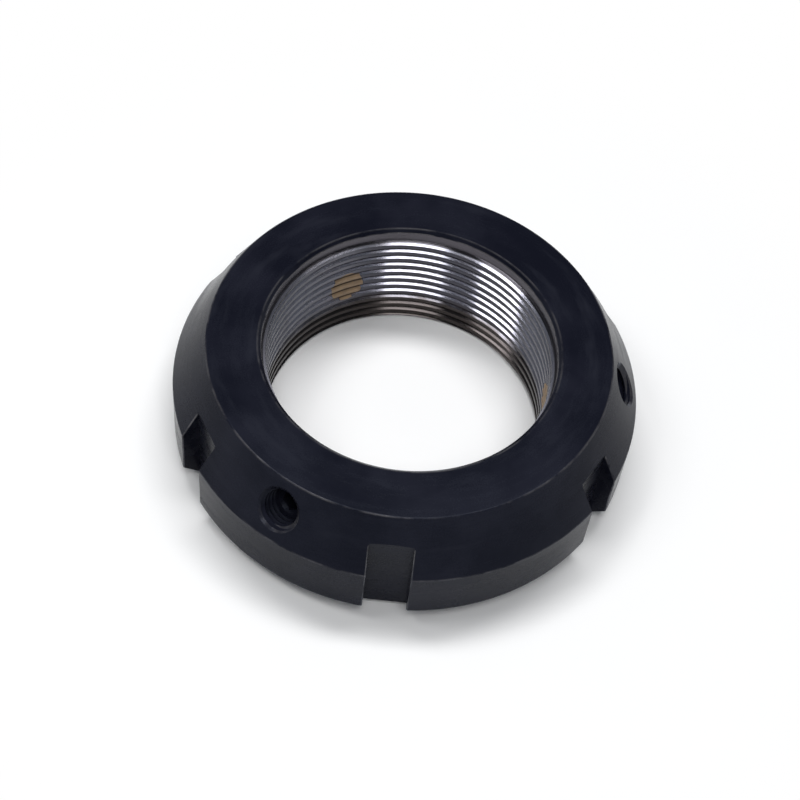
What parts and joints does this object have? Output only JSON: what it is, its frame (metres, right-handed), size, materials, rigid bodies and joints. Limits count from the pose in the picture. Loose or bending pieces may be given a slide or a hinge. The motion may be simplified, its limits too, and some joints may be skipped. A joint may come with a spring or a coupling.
{
  "type": "bearing lock nut",
  "caption": "Black ring-shaped lock nut with a fine internal thread, a bevelled outer edge, hook spanner slots and bronze locking pins set by slanted grub screws.",
  "frame": {"origin": "centre of the face that bears on the bearing, on the thread's axis", "axes": "+Z along the thread's axis, from the bearing face to the bevelled outer face; +X through one of the slanted grub screws"},
  "size_m": [0.088, 0.0876, 0.026],
  "materials": {
    "black_steel": "black oxide, oiled, satin; the thread is bare bright steel",
    "bronze": "machined",
    "screw_steel": "black oxide, satin"
  },
  "bodies": {
    "root": {"nut_body": "black_steel", "locking_pin_1": "bronze", "locking_pin_2": "bronze", "locking_pin_3": "bronze", "grub_screw_1": "screw_steel", "grub_screw_2": "screw_steel", "grub_screw_3": "screw_steel"}
  },
  "joints": []
}
